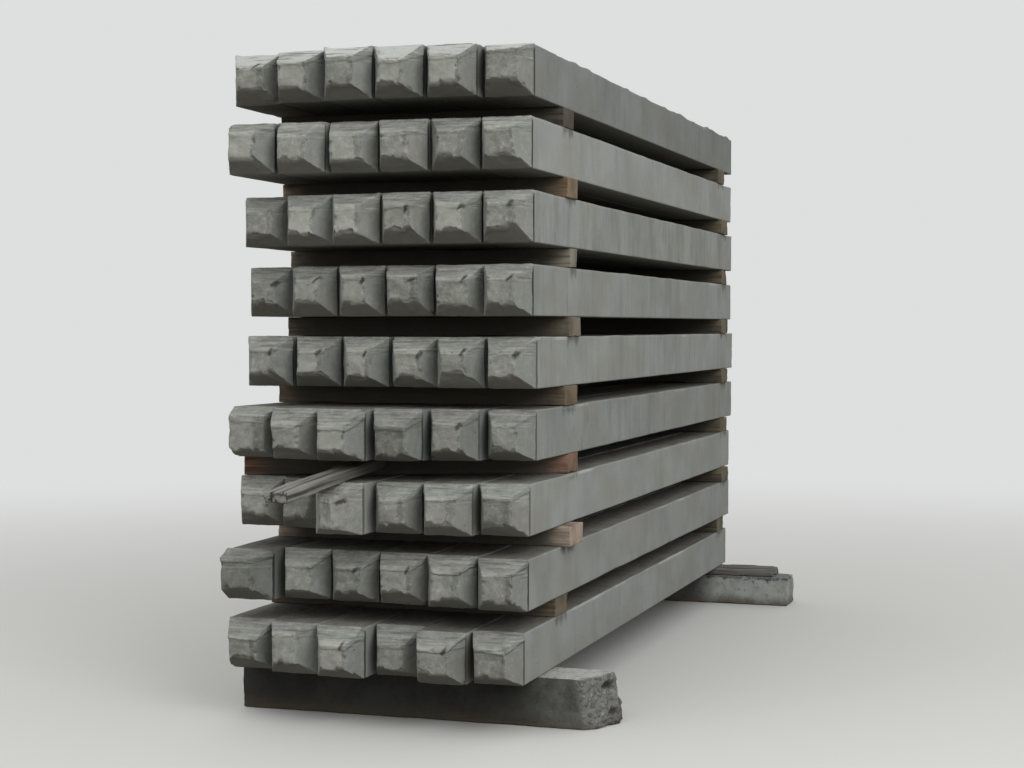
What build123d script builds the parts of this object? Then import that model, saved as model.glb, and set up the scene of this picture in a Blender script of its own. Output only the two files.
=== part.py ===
from build123d import *
import os

os.makedirs("parts", exist_ok=True)

# Stack of precast square concrete piles, in millimetres. +X runs across the piles to the right,
# +Y runs along them from the pointed ends to the square ends, +Z is up.

# one pile
pile_width = 200
pile_height = 200
body_length = 3900
tip_length = 100
tip_side_inset = 45
tip_top_inset = 54
tip_bottom_inset = 53
mould_chamfer = 8
mould_joint_width = 15
mould_joint_depth = 5
mould_joint_top_gap = 14

# how the piles are stacked
piles_per_layer = 6
layer_count = 9
pile_gap = 10
spacer_thickness = 82
sleeper_height = 200

pile_pitch = pile_width + pile_gap
layer_pitch = pile_height + spacer_thickness
row_width = piles_per_layer * pile_width + (piles_per_layer - 1) * pile_gap

# how far back each pile was set down, bottom layer first, left pile first
pile_setback = [
    [-50, -100, -130, -30, -140, -80],
    [-90, 0, -10, -20, -50, -70],
    [50, 10, -160, -60, -80, -20],
    [0, -80, -120, -50, 20, 90],
    [120, 130, 120, 120, 70, 70],
    [140, 90, 80, 70, 60, 20],
    [90, 40, 10, 10, 20, 10],
    [-50, -40, 0, -10, 10, 0],
    [30, -10, -40, -30, -10, 60],
]

# how far each whole layer sits to the right
layer_shift = [-8, 6, 0, -8, 0, 0, 2, 0, -10]

# front timber in each gap, bottom gap first: middle at the right side, middle at the left side,
# width, how far the right end and the left end pass the sides of the piles
front_timbers = [
    (420, 440, 170, 5, 10),
    (470, 450, 190, 40, -10),
    (615, 140, 150, -10, 0),
    (550, 540, 180, 8, 15),
    (590, 570, 170, 5, -5),
    (585, 600, 100, 0, 10),
    (525, 530, 150, 10, 5),
    (495, 510, 150, 5, 0),
]

# rear timber in each gap, in the same order, its middle measured in from the square ends
rear_timbers = [
    (260, 270, 170, 5, 5),
    (220, 240, 180, 10, -10),
    (180, 200, 170, 0, 10),
    (160, 150, 160, 8, 0),
    (190, 170, 180, 5, -5),
    (180, 200, 130, 0, 10),
    (230, 220, 170, 10, 5),
    (300, 280, 160, 5, 0),
]

# front sleeper, a piece of an old pile with a broken right end
front_sleeper_y = 120
front_sleeper_width = 230
front_sleeper_reach = 290
front_break_depth = 90
front_break_step = 15
front_break_corner = 60
front_break_lean = 35

# rear sleeper, a lower concrete block with a plank on top, measured in from the square ends
rear_sleeper_inset = 130
rear_sleeper_width = 230
rear_sleeper_reach = 400
rear_plank_thickness = 42
rear_plank_width = 180
rear_plank_reach = 314
rear_plank_inset = 150
rear_sleeper_height = sleeper_height - rear_plank_thickness
sleeper_left_reach = 35

# loose batten wedged between layers 3 and 4
batten_width = 100
batten_thickness = 45
batten_tilt = 5.6
batten_yaw = 4.5
batten_outer_length = 445
batten_clearance = 0.3
batten_offset = -31


def bottom_of(layer):
    return sleeper_height + (layer - 1) * layer_pitch


def top_of(layer):
    return bottom_of(layer) + pile_height


def pile_centre_x(layer, pile):
    left = -row_width / 2 + pile_width / 2
    return left + (pile - 1) * pile_pitch + layer_shift[layer - 1]


def make_pile():
    # square body from y = 0 back, blunt four-sided point in front of it
    length = body_length + tip_length
    pile = Pos(0, length / 2 - tip_length, pile_height / 2) * Box(pile_width, length, pile_height)
    half = pile_width / 2
    slopes = [
        Plane(origin=(half, 0, 0), x_dir=(0, 0, 1), z_dir=(tip_length, -tip_side_inset, 0)),
        Plane(origin=(-half, 0, 0), x_dir=(0, 0, 1), z_dir=(-tip_length, -tip_side_inset, 0)),
        Plane(origin=(0, 0, pile_height), x_dir=(1, 0, 0), z_dir=(0, -tip_top_inset, tip_length)),
        Plane(origin=(0, 0, 0), x_dir=(1, 0, 0), z_dir=(0, -tip_bottom_inset, -tip_length)),
    ]
    for slope in slopes:
        pile = split(pile, bisect_by=slope, keep=Keep.BOTTOM)
    # the two long bottom edges have the small chamfer that the mould leaves
    side = mould_chamfer * 2 ** 0.5
    whole_length = 2 * (body_length + tip_length)
    for x in (-pile_width / 2, pile_width / 2):
        pile = pile - Pos(x, body_length / 2, 0) * Rot(0, 45, 0) * Box(side, whole_length, side)
    # the joint in the mould leaves a groove down each side at the root of the point
    joint_height = pile_height - mould_joint_top_gap
    for x in (-half, half):
        joint = Box(2 * mould_joint_depth, mould_joint_width, joint_height)
        pile = pile - Pos(x, mould_joint_width / 2, joint_height / 2) * joint
    return pile.solid()


def make_timber(right_middle, left_middle, width, right_reach, left_reach, thickness, layer):
    # a sawn timber laid across the layer, its ends cut square to the side of the stack
    shift = layer_shift[layer - 1]
    right = row_width / 2 + right_reach + shift
    left = -row_width / 2 - left_reach + shift
    half = width / 2
    outline = Polyline(
        (left, left_middle - half),
        (right, right_middle - half),
        (right, right_middle + half),
        (left, left_middle + half),
        close=True,
    )
    return extrude(make_face(outline), thickness)


def make_front_sleeper():
    left = -row_width / 2 - sleeper_left_reach
    right = row_width / 2 + front_sleeper_reach
    front = front_sleeper_y
    back = front_sleeper_y + front_sleeper_width
    outline = Polyline(
        (left, front),
        (right - front_break_depth, front),
        (right - front_break_step, back - front_break_corner),
        (right, back),
        (left, back),
        close=True,
    )
    block = extrude(make_face(outline), sleeper_height)
    # the broken end leans in towards the top
    lean = Plane(origin=(right, 0, 0), x_dir=(0, 1, 0), z_dir=(sleeper_height, 0, front_break_lean))
    return split(block, bisect_by=lean, keep=Keep.BOTTOM)


def make_rear_timber(right_inset, left_inset, width, right_reach, left_reach, thickness, layer):
    right_middle = body_length - right_inset
    left_middle = body_length - left_inset
    return make_timber(right_middle, left_middle, width, right_reach, left_reach, thickness, layer)


def make_bar(left, right, back, width, low, high):
    # a plain bar across the stack, between two heights
    middle = ((left + right) / 2, back - width / 2, (low + high) / 2)
    return Pos(*middle) * Box(right - left, width, high - low)


def make_batten(layer, number):
    # lies on the top edge of one pile, its far end up against the layer above
    above = bottom_of(layer + 1) - top_of(layer) - 2 * batten_clearance
    tilt = Rot(batten_tilt, 0, 0)
    flat = Plane.XY.rotated((batten_tilt, 0, 0))
    rise = flat.y_dir.Z
    lean = flat.z_dir.Z
    turned = Plane.XY.rotated((0, 0, -batten_yaw))
    far_reach = (above - batten_thickness * lean) / rise
    inner_length = (far_reach + turned.x_dir.Y * batten_width / 2) / turned.y_dir.Y
    length = batten_outer_length + inner_length
    stick = Pos(0, inner_length - length / 2, batten_thickness / 2)
    stick = stick * Box(batten_width, length, batten_thickness)
    edge_y = pile_setback[layer - 1][number - 1]
    middle_x = pile_centre_x(layer, number) + batten_offset
    place = Pos(middle_x, edge_y, top_of(layer) + batten_clearance)
    return place * tilt * Rot(0, 0, -batten_yaw) * stick


nodes = {}

pile = make_pile()
for layer in range(1, layer_count + 1):
    row = []
    for number in range(1, piles_per_layer + 1):
        setback = pile_setback[layer - 1][number - 1]
        row.append(Pos(pile_centre_x(layer, number), setback, bottom_of(layer)) * pile)
    nodes[f"pile_layer_{layer}"] = Compound(children=row)

for gap in range(1, layer_count):
    lift = Pos(0, 0, top_of(gap))
    front_timber = make_timber(*front_timbers[gap - 1], spacer_thickness, gap)
    rear_timber = make_rear_timber(*rear_timbers[gap - 1], spacer_thickness, gap)
    nodes[f"front_spacer_{gap}"] = lift * front_timber
    nodes[f"rear_spacer_{gap}"] = lift * rear_timber

nodes["front_sleeper"] = make_front_sleeper()

left_end = -row_width / 2 - sleeper_left_reach
block_end = row_width / 2 + rear_sleeper_reach
block_back = body_length - rear_sleeper_inset
plank_end = row_width / 2 + rear_plank_reach
plank_back = body_length - rear_plank_inset
block = make_bar(left_end, block_end, block_back, rear_sleeper_width, 0, rear_sleeper_height)
plank = make_bar(left_end, plank_end, plank_back, rear_plank_width, rear_sleeper_height, sleeper_height)
nodes["rear_sleeper"] = block
nodes["rear_packing_plank"] = plank

nodes["loose_batten"] = make_batten(layer=3, number=3)

# the origin is the middle of the whole stack's footprint, on the ground
boxes = [shape.bounding_box() for shape in nodes.values()]
middle_x = (min(b.min.X for b in boxes) + max(b.max.X for b in boxes)) / 2
middle_y = (min(b.min.Y for b in boxes) + max(b.max.Y for b in boxes)) / 2
ground = min(b.min.Z for b in boxes)

for name, shape in nodes.items():
    export_step(Pos(-middle_x, -middle_y, -ground) * shape, f"parts/{name}.step")
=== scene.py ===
import itertools
import time

import bpy
import numpy as np
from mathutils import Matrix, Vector


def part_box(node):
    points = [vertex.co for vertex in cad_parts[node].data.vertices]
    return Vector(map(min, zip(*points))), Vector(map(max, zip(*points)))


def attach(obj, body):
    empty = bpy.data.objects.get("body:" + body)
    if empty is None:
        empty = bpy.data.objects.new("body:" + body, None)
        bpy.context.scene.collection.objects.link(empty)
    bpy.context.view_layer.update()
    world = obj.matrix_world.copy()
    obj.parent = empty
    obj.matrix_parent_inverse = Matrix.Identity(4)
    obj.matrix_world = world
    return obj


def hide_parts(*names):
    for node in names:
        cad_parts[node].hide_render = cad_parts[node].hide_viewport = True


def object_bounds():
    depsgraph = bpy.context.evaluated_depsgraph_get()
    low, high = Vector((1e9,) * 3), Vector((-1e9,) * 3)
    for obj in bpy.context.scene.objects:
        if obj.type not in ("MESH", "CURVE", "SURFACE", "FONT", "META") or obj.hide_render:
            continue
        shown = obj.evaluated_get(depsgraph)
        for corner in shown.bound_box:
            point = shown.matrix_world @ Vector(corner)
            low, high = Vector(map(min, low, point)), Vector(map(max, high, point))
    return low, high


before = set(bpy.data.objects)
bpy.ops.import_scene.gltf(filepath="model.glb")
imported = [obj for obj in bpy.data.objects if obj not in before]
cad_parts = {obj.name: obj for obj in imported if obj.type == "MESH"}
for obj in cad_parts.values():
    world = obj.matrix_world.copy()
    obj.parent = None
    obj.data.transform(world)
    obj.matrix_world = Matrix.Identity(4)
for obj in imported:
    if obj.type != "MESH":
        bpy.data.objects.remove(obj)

# Looks for a yard stack of square precast concrete piles on timbers and two cross sleepers.
# Lengths are in metres. +X is across the piles to the right, +Y along them to the square ends, +Z up.

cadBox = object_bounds()
started = time.time()
nearly = 0.0005     # two lengths closer than this count as the same
farOff = 99.0       # a distance at which nothing shows


def report(stage):
    print(f"{stage}: {time.time() - started:.1f} s")


# smooth random values, the same on every run

cellMix = (73856093, 19349663, 83492791)     # whole numbers that scatter neighbouring cells,
seedMix = (40503, 977)                       # seeds
valueMix = (1274126177, 97531)               # and the values that come of them
wholeMask = 0x7FFFFFFF
valueSteps = 65536


def latticeNoise(points, seed):
    # one value between -1 and 1 for each row of points, on a lattice of unit cells
    cell = np.floor(points).astype(np.int64)
    part = points - cell
    ease = part * part * (3 - 2 * part)
    total = np.zeros(len(points))
    for corner in itertools.product((0, 1), repeat=3):
        x, y, z = (cell + np.array(corner)).T
        mixed = x * cellMix[0] ^ y * cellMix[1] ^ z * cellMix[2] ^ (seed * seedMix[0] + seedMix[1])
        mixed = (mixed ^ (mixed >> 13)) * valueMix[0] & wholeMask
        mixed = (mixed ^ (mixed >> 15)) * valueMix[1] & wholeMask
        value = ((mixed >> 7) % valueSteps) / ((valueSteps - 1) / 2) - 1
        weight = np.prod(np.where(np.array(corner) == 1, ease, 1 - ease), axis=1)
        total += value * weight
    return total


def roughNoise(points, size, seed, octaves=3):
    # several sizes of lattice noise added, the largest lumps about as wide as size
    total = np.zeros(len(points))
    for step in range(octaves):
        total += latticeNoise(points * (2 ** step / size), seed + step * 17) * 0.5 ** step
    return total / (2 - 0.5 ** (octaves - 1))


def smoothStep(low, high, value):
    part = np.clip((value - low) / (high - low), 0, 1)
    return part * part * (3 - 2 * part)


# a box whose six faces are grids that share their edge points

def gridBox(across, along, up):
    counts = (len(across), len(along), len(up))
    place = np.stack(np.meshgrid(*[range(count) for count in counts], indexing="ij"), -1)
    outer = np.zeros(counts, bool)
    outer[[0, -1]] = True
    outer[:, [0, -1]] = True
    outer[:, :, [0, -1]] = True
    number = np.full(counts, -1)
    number[outer] = np.arange(outer.sum())
    picked = place[outer]
    points = np.stack([across[picked[:, 0]], along[picked[:, 1]], up[picked[:, 2]]], 1)
    faces = []
    for axis in range(3):
        for end in (0, counts[axis] - 1):
            sheet = np.take(number, end, axis=axis)
            quads = np.stack([sheet[:-1, :-1], sheet[1:, :-1], sheet[1:, 1:], sheet[:-1, 1:]], -1)
            quads = quads.reshape(-1, 4)
            turned = (end == 0) != (axis == 1)
            faces.append(quads[:, ::-1] if turned else quads)
    return points, np.concatenate(faces)


def spread(length, steps, edge):
    # places from 0 to length, evenly spaced but with one extra close to each end
    inner = np.linspace(edge, length - edge, steps)
    return np.concatenate([[0, edge * 0.4], inner, [length - edge * 0.4, length]])


def roundCorners(points, low, high, radius):
    # pulls the points near the edges of the box onto a round of this radius
    inner = np.clip(points, low + radius, high - radius)
    away = points - inner
    reach = np.linalg.norm(away, axis=1)
    reach[reach == 0] = 1
    return inner + away * (radius / reach)[:, None]


def edgeDistance(points, low, high):
    # how far each surface point is from the nearest edge of the box
    toFace = np.minimum(points - low, high - points)
    return np.sort(np.abs(toFace), axis=1)[:, 1]


def outward(points, low, high, depth):
    # unit vectors that point out of the box, turning smoothly round its edges
    away = points - np.clip(points, low + depth, high - depth)
    return away / np.maximum(np.linalg.norm(away, axis=1), 1e-9)[:, None]


def joinedObject(name, parts, values):
    # one mesh from several (points, faces), with the given values kept on its points
    offset = 0
    allPoints = []
    allFaces = []
    for points, faces in parts:
        allPoints.append(points)
        allFaces.append(faces + offset)
        offset += len(points)
    allPoints = np.concatenate(allPoints)
    allFaces = np.concatenate(allFaces)
    mesh = bpy.data.meshes.new(name)
    mesh.vertices.add(len(allPoints))
    mesh.vertices.foreach_set("co", allPoints.astype(np.float32).ravel())
    mesh.loops.add(allFaces.size)
    mesh.loops.foreach_set("vertex_index", allFaces.astype(np.int32).ravel())
    mesh.polygons.add(len(allFaces))
    mesh.polygons.foreach_set("loop_start", np.arange(0, allFaces.size, 4, dtype=np.int32))
    mesh.update(calc_edges=True)
    mesh.validate()
    for key, data in values.items():
        kind = "FLOAT_VECTOR" if data.ndim == 2 else "FLOAT"
        layer = mesh.attributes.new(key, kind, "POINT")
        layer.data.foreach_set("vector" if data.ndim == 2 else "value", data.astype(np.float32).ravel())
    mesh.shade_smooth()
    obj = bpy.data.objects.new(name, mesh)
    bpy.context.scene.collection.objects.link(obj)
    return obj


def standIn(name, node, material, parts, values):
    # a detailed mesh that takes the place of one CAD node
    obj = joinedObject(name, parts, values)
    obj.data.materials.append(material)
    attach(obj, "root")
    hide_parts(node)


# node materials

def tint(red, green, blue):
    # a screen colour from 0 to 255 as the linear colour that shaders take
    scaled = [c / 255 for c in (red, green, blue)]
    return [c / 12.92 if c <= 0.04045 else ((c + 0.055) / 1.055) ** 2.4 for c in scaled] + [1.0]


class Paint:
    # a material and short calls that add nodes to it

    def __init__(self, name, roughness):
        self.material = bpy.data.materials.new(name)
        self.material.use_nodes = True
        self.tree = self.material.node_tree
        self.tree.nodes.clear()
        self.shader = self.add("ShaderNodeBsdfPrincipled")
        self.shader.inputs["Roughness"].default_value = roughness
        self.shader.inputs["Specular IOR Level"].default_value = 0.25
        self.output = self.add("ShaderNodeOutputMaterial")
        self.join(self.shader.outputs["BSDF"], self.output.inputs["Surface"])
        self.place = self.add("ShaderNodeTexCoord").outputs["Object"]
        self.normal = self.add("ShaderNodeNewGeometry").outputs["Normal"]

    def add(self, kind, **settings):
        node = self.tree.nodes.new(kind)
        for key, value in settings.items():
            setattr(node, key, value)
        return node

    def join(self, source, target):
        self.tree.links.new(source, target)

    def fill(self, socket, value):
        if hasattr(value, "is_output"):
            self.join(value, socket)
        else:
            socket.default_value = value

    def math(self, operation, first, second=0.0):
        node = self.add("ShaderNodeMath", operation=operation)
        self.fill(node.inputs[0], first)
        self.fill(node.inputs[1], second)
        return node.outputs[0]

    def times(self, *factors):
        total = factors[0]
        for factor in factors[1:]:
            total = self.math("MULTIPLY", total, factor)
        return total

    def plus(self, first, second):
        return self.math("ADD", first, second)

    def rest(self, value):
        return self.math("SUBTRACT", 1.0, value)

    def stretch(self, vector, scale):
        node = self.add("ShaderNodeVectorMath", operation="MULTIPLY")
        self.fill(node.inputs[0], vector)
        node.inputs[1].default_value = scale
        return node.outputs[0]

    def noise(self, vector, scale, detail=4.0, rough=0.55, twist=0.0):
        node = self.add("ShaderNodeTexNoise")
        self.fill(node.inputs["Vector"], vector)
        node.inputs["Scale"].default_value = scale
        node.inputs["Detail"].default_value = detail
        node.inputs["Roughness"].default_value = rough
        node.inputs["Distortion"].default_value = twist
        return node.outputs["Fac"]

    def cells(self, vector, scale):
        node = self.add("ShaderNodeTexVoronoi", feature="F1")
        self.fill(node.inputs["Vector"], vector)
        node.inputs["Scale"].default_value = scale
        return node.outputs["Distance"], self.split(node.outputs["Color"])[0]

    def ramp(self, value, low, high, start=0.0, end=1.0):
        node = self.add("ShaderNodeMapRange", interpolation_type="SMOOTHSTEP")
        self.fill(node.inputs["Value"], value)
        node.inputs["From Min"].default_value = low
        node.inputs["From Max"].default_value = high
        node.inputs["To Min"].default_value = start
        node.inputs["To Max"].default_value = end
        return node.outputs["Result"]

    def mix(self, amount, first, second, blend="MIX"):
        # sockets 6 and 7 and output 2 are the colours of a Mix node
        node = self.add("ShaderNodeMix", data_type="RGBA", blend_type=blend)
        self.fill(node.inputs["Factor"], amount)
        self.fill(node.inputs[6], first)
        self.fill(node.inputs[7], second)
        return node.outputs[2]

    def shade(self, colour, amount):
        # multiplies a colour by one number
        grey = self.add("ShaderNodeCombineColor")
        for socket in grey.inputs[:3]:
            self.fill(socket, amount)
        return self.mix(1.0, colour, grey.outputs[0], "MULTIPLY")

    def split(self, vector):
        node = self.add("ShaderNodeSeparateXYZ")
        self.fill(node.inputs[0], vector)
        return node.outputs

    def value(self, key):
        return self.add("ShaderNodeAttribute", attribute_name=key).outputs["Fac"]

    def vector(self, key):
        return self.add("ShaderNodeAttribute", attribute_name=key).outputs["Vector"]

    def pores(self, vector, scale, radius, share, soft=0.5):
        # round pits: 1 inside a pit, 0 outside, in only this share of the cells
        distance, chance = self.cells(vector, scale)
        pit = self.ramp(distance, radius * scale, radius * scale * soft)
        return self.times(pit, self.math("GREATER_THAN", chance, 1 - share))

    def colour(self, value):
        self.fill(self.shader.inputs["Base Color"], value)

    def bump(self, height, distance):
        node = self.add("ShaderNodeBump")
        node.inputs["Distance"].default_value = distance
        self.fill(node.inputs["Height"], height)
        self.join(node.outputs["Normal"], self.shader.inputs["Normal"])


castLook = {
    "side": tint(133, 137, 133),       # smooth moulded sides, a cool grey
    "sideDark": tint(114, 117, 112),   # damp clouds on them
    "sidePale": tint(146, 150, 147),   # and dry ones
    "sideWarm": tint(138, 133, 124),   # faint brown clouds on them
    "tip": tint(127, 129, 122),        # blunt ends, a little warmer
    "tipDark": tint(100, 101, 94),
    "tipPale": tint(172, 173, 165),    # the left part of the blunt face on some piles
    "top": tint(124, 123, 116),        # trowelled tops
    "topOpen": tint(150, 150, 144),    # the top layer's, bleached in the open
    "topDark": tint(98, 96, 89),
    "underShade": tint(118, 118, 112),      # painted shade on whatever faces down
    "worn": tint(160, 161, 154),       # rubbed edges
    "washedAndLit": tint(190, 192, 188),     # tops of the points, washed by rain and painted lighter as a highlight where they face up
    # dirt; also the painted shade under the lips
    "dirtAndShade": tint(56, 54, 49),
    "pit": tint(46, 45, 42),
    "roughness": 0.88,
    "relief": 0.004,                   # height of the finest relief
    "sandLight": 0.24,                 # how much the finest grain lightens and darkens
    "toneLight": 0.16,                 # and how much the piles differ in tone
}

castGrain = {
    # how fine each pattern is, in noise cells to a metre, all ways or along X, Y and Z
    "cloud": 2.6,
    "mottle": 17,
    "sand": 420,
    "fine": 44,                        # mottling of the blunt ends
    "coarse": 90,
    "wipe": (22, 9, 9),                # trowel marks on the tops
    "streak": (8, 8, 1.8),             # upright streaks on the sides
    "run": (21, 21, 3.2),              # dark runs from the top edge
    "hair": (90, 90, 1.2),             # thin ones
    "warm": (2, 2, 4),
    "drop": (26, 26, 8),               # how unevenly the dark patch goes down from a timber
    "band": (7, 7, 120),               # thin layers in the top of the point
    "speck": 60,
    # patches of the painted highlight along the top of the sides
    "rub": (1, 1.3, 1),
    "pore": (80, 0.0016, 0.22),        # pits: cells to a metre, radius, share of cells with one
    "hole": (23, 0.0040, 0.14, 0.7),   # wider ones with softer rims
    "dropReach": 0.12,                 # height in metres that the lower limit of the dark patch varies by
    "wander": 0.07,                    # how far the lip's crack and the pale part wander
    "pitBend": 0.012,
}

castCover = {
    # how much each mark hides of what is under it, from 0 to 1
    "handMade": 0.35,                  # on the slopes of the point that the mould has shaped
    "tipSpeck": 0.8,
    "tipPaleSpeck": 0.4,
    "washedAndLit": 0.22,                    # on every point, as rain wash and painted highlight
    "washedAndLitOpen": 0.65,                # and this much more in the open
    "topMark": 0.9,
    "topMarkOpen": 0.5,                # and this much less in the open
    "topCloud": 0.45,
    "underShade": 0.95,
    "pitted": 0.6,
    "sideWarm": 0.5,
    "wet": 0.15,
    "wetStain": 0.58,                  # and this much more on a row with streaks
    "run": 0.6,
    "hair": 0.3,
    "belowTimber": 0.6,
    "bandDark": 0.7,
    "bandPale": 0.5,
    "darkLine": 0.9,
    "pale": 0.42,
    "slantPit": 0.85,
    "worn": 0.32,
    "rub": 0.5,
}


castRange = {
    # each mark comes in between the first value of its pattern and the second
    "sideCloud": (0.38, 0.7),
    "sideWarm": (0.42, 0.66),
    "wet": (0.44, 0.72),
    "run": (0.64, 0.76),
    "runStreak": (0.42, 0.56),         # runs keep to the streaks
    "hair": (0.66, 0.76),
    "hairRun": (0.44, 0.6),            # and thin ones to the runs
    "tipMottle": (0.36, 0.74),
    "tipSpeck": (0.48, 0.64),
    "tipPaleSpeck": (0.46, 0.34),
    "topWipe": (0.4, 0.7),
    "topCloud": (0.42, 0.66),
    "bandDark": (0.54, 0.64),
    "bandPale": (0.45, 0.36),
    "darkLineGap": (0.64, 0.46),          # the painted shadow under the lip fades out where the mottling is dark
    "pore": (0.45, 0.6),
    "wornSpeck": (0.45, 0.62),
    "rub": (0.55, 0.66),
    # the same for how far a face is turned up, to the side or down
    "upFace": (0.5, 0.85),
    "washedAndLit": (0.45, 0.8),
    "moulded": (0.6, 0.85),
    "underShade": (-0.18, -0.5),
    # for the place on a pile, in metres from the root of its point or up from its underside
    "onTip": (0.004, -0.004),
    "onFace": (-0.075, -0.088),
    "onLeft": (0.006, -0.004),         # left of the pit
    "laid": (0.115, 0.145),
    "highlightHeight": (0.183, 0.192),
    "belowTimberHeight": (0.16, 0.20),
    # and for a distance
    "belowTimber": (1.25, 0.7),               # from the middle of a timber, in half widths of it
    "darkLine": (0.026, 0.006),           # from the line of the lip, as a share of the pile's height
    "pitAlong": (0.030, 0.014),        # from the middle of the pit along it, in metres
    "pitAcross": (1.0, 0.3),           # and across it, as a share of its width
}


def castConcrete():
    # local is measured from the middle of the root of each pile's point, at its underside
    grain, cover, span = castGrain, castCover, castRange
    paint = Paint("castConcrete", castLook["roughness"])
    place = paint.place
    local = paint.split(paint.vector("pilePlace"))
    nz = paint.split(paint.normal)[2]
    onTip = paint.ramp(local[1], *span["onTip"])
    upFace = paint.ramp(nz, *span["upFace"])
    cloud = paint.noise(place, grain["cloud"], 5, 0.6)
    mottle = paint.noise(place, grain["mottle"], 6, 0.72)
    sand = paint.noise(place, grain["sand"], 2, 0.7)

    side = castSide(paint, cloud)
    tip = castTip(paint, nz, mottle)
    # the slopes at the left and right of the point were cast against the mould, as the sides were
    nx = paint.math("ABSOLUTE", paint.split(paint.normal)[0])
    handMade = paint.times(onTip, paint.ramp(nx, *span["moulded"], 1.0, cover["handMade"]))
    colour = paint.mix(handMade, side, tip)
    top = castTop(paint, cloud)
    colour = paint.mix(paint.times(upFace, paint.rest(onTip)), colour, top)
    # faces that turn down are painted darker here, as shade
    down = paint.plus(nz, paint.times(paint.plus(mottle, -0.5), 0.5))
    shadeAndGrime = paint.ramp(down, *span["underShade"], 0.0, cover["underShade"])
    colour = paint.mix(shadeAndGrime, colour, castLook["underShade"])
    colour = castDarkBelowTimbers(paint, colour, local, upFace)
    colour = castTipMarks(paint, colour, local, onTip, mottle, cloud)
    colour = castWear(paint, colour, local, upFace)

    pits = paint.times(paint.pores(place, *grain["pore"]), paint.ramp(mottle, *span["pore"]))
    holes = paint.pores(place, *grain["hole"])
    pitted = paint.math("MAXIMUM", pits, holes)
    colour = paint.mix(paint.times(pitted, cover["pitted"]), colour, castLook["pit"])
    light = paint.plus(paint.times(sand, castLook["sandLight"]), 1 - castLook["sandLight"] / 2)
    pileLight = paint.plus(paint.times(paint.value("pileTone"), castLook["toneLight"]), 1.0)
    paint.colour(paint.shade(colour, paint.times(light, pileLight)))

    # the finest relief is deepest on the tops and the points
    coarse = paint.noise(place, grain["coarse"], 4, 0.65)
    rough = paint.plus(paint.times(onTip, 0.5), paint.times(upFace, 0.9))
    height = paint.times(coarse, paint.plus(rough, 0.22))
    height = paint.plus(height, paint.times(sand, 0.12))
    height = paint.math("SUBTRACT", height, paint.times(pitted, 0.7))
    paint.bump(height, castLook["relief"])
    return paint.material


def castSide(paint, cloud):
    # moulded sides: soft clouds, faint upright streaks and a few dark runs from the top edge
    place, grain, cover, span = paint.place, castGrain, castCover, castRange
    stain = paint.value("pileStain")
    streak = paint.noise(paint.stretch(place, grain["streak"]), 1.0, 5, 0.7)
    run = paint.noise(paint.stretch(place, grain["run"]), 1.0, 3, 0.5)
    hair = paint.noise(paint.stretch(place, grain["hair"]), 1.0, 2, 0.5)
    colour = paint.mix(paint.ramp(cloud, *span["sideCloud"]), castLook["sidePale"], castLook["side"])
    warm = paint.noise(paint.stretch(place, grain["warm"]), 1.0, 4, 0.6)
    warmed = paint.times(paint.ramp(warm, *span["sideWarm"]), cover["sideWarm"])
    colour = paint.mix(warmed, colour, castLook["sideWarm"])
    wetness = paint.plus(paint.times(stain, cover["wetStain"]), cover["wet"])
    wet = paint.times(paint.ramp(streak, *span["wet"]), wetness)
    colour = paint.mix(wet, colour, castLook["sideDark"])
    fall = paint.times(paint.ramp(run, *span["run"]), paint.ramp(streak, *span["runStreak"]), stain)
    colour = paint.mix(paint.times(fall, cover["run"]), colour, castLook["dirtAndShade"])
    line = paint.times(paint.ramp(hair, *span["hair"]), paint.ramp(run, *span["hairRun"]), stain)
    return paint.mix(paint.times(line, cover["hair"]), colour, castLook["dirtAndShade"])


def castTip(paint, nz, mottle):
    # the blunt ends: mottled, and pale where they face up, washed by rain and painted lighter as a highlight
    cover, span = castCover, castRange
    fine = paint.noise(paint.place, castGrain["fine"], 5, 0.72)
    tip = paint.mix(paint.ramp(mottle, *span["tipMottle"]), castLook["tip"], castLook["tipDark"])
    specks = paint.times(paint.ramp(fine, *span["tipSpeck"]), cover["tipSpeck"])
    tip = paint.mix(specks, tip, castLook["tipDark"])
    specks = paint.times(paint.ramp(fine, *span["tipPaleSpeck"]), cover["tipPaleSpeck"])
    tip = paint.mix(specks, tip, castLook["tipPale"])
    inTheOpen = paint.value("pileOpen")
    washedAndLit = paint.plus(paint.times(inTheOpen, cover["washedAndLitOpen"]), cover["washedAndLit"])
    # faces of the point that turn up are painted paler: rain wash and painted highlight
    washedAndLit = paint.times(paint.ramp(nz, *span["washedAndLit"]), washedAndLit)
    return paint.mix(washedAndLit, tip, castLook["washedAndLit"])


def castTop(paint, cloud):
    # trowelled tops, bleached on the top layer
    cover, span = castCover, castRange
    wipe = paint.noise(paint.stretch(paint.place, castGrain["wipe"]), 1.0, 6, 0.7)
    inTheOpen = paint.value("pileOpen")
    top = paint.mix(inTheOpen, castLook["top"], castLook["topOpen"])
    less = paint.times(inTheOpen, cover["topMarkOpen"])
    marked = paint.math("SUBTRACT", cover["topMark"], less)
    top = paint.mix(paint.times(paint.ramp(wipe, *span["topWipe"]), marked), top, castLook["topDark"])
    clouded = paint.times(paint.ramp(cloud, *span["topCloud"]), cover["topCloud"])
    return paint.mix(clouded, top, castLook["topDark"])


def castDarkBelowTimbers(paint, colour, local, upFace):
    # darker patches on the sides just below the ends of the timbers
    span = castRange
    along = paint.math("ABSOLUTE", paint.value("timberAlong"))
    drop = paint.noise(paint.stretch(paint.place, castGrain["drop"]), 1.0, 3, 0.6)
    below = paint.times(paint.ramp(along, *span["belowTimber"]), paint.rest(upFace))
    reach = paint.plus(local[2], paint.times(paint.plus(drop, -0.5), castGrain["dropReach"]))
    below = paint.times(below, paint.ramp(reach, *span["belowTimberHeight"]))
    return paint.mix(paint.times(below, castCover["belowTimber"]), colour, castLook["dirtAndShade"])


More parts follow.
